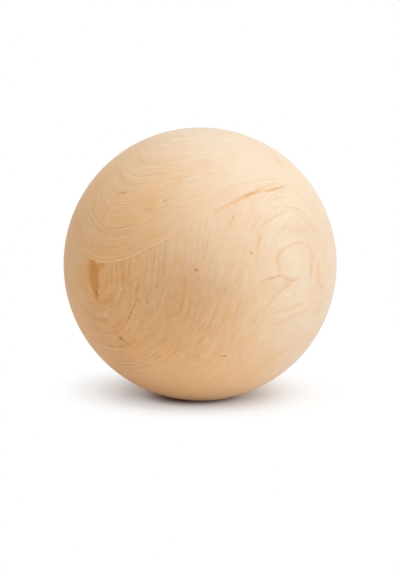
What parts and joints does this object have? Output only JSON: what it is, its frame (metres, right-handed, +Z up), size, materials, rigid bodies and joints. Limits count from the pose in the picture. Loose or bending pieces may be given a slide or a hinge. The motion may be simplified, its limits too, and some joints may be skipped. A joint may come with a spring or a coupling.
{
  "type": "wooden ball",
  "caption": "Solid turned ball of bare pale wood, sanded smooth all over, with no bore, flat or seam.",
  "frame": {"origin": "centre of the ball", "axes": "+Z up, away from the surface or seat that the ball rests on; -Y towards the viewer of the picture. Every line through the centre is an axis of symmetry."},
  "size_m": [0.04, 0.04, 0.04],
  "materials": {
    "wood": "bare pale hardwood, sanded smooth, satin-matte, with fine low-contrast growth rings and a few small brown marks"
  },
  "bodies": {
    "root": {"ball": "wood"}
  },
  "joints": []
}
